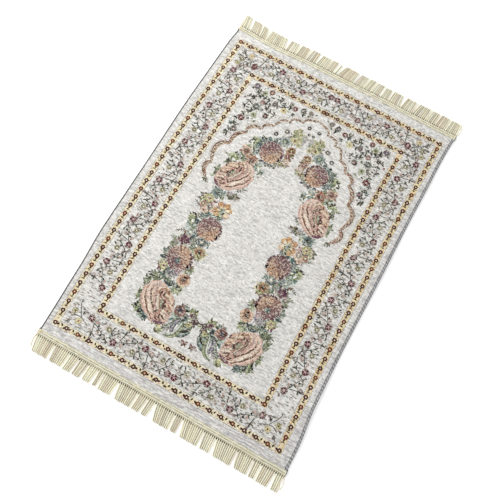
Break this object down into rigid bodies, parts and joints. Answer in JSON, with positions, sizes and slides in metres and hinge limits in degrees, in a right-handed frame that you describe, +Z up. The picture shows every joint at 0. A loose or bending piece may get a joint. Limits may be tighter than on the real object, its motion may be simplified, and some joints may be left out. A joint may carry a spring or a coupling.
{
  "type": "prayer rug",
  "caption": "Flat woven prayer rug with an arch and flower wreath pattern, overlocked long sides and a corded fringe at each end.",
  "frame": {"origin": "on the floor, below the middle of the box that holds the whole rug with its fringes", "axes": "+X across the rug, +Y along it towards the end with the pointed arch, +Z up out of its face"},
  "size_m": [0.6955, 1.1002, 0.0067],
  "materials": {
    "woven_cloth": "off-white weave with streaks of grey weft, woven flowers and gold stripes, matte",
    "edge_yarn": "grey overlock yarn, matte",
    "fringe_yarn": "cream twisted cord, slight sheen"
  },
  "bodies": {
    "root": {"rug_cloth": "woven_cloth", "left_overlock": "edge_yarn", "right_overlock": "edge_yarn", "far_fringe": "fringe_yarn", "near_fringe": "fringe_yarn"}
  },
  "joints": []
}
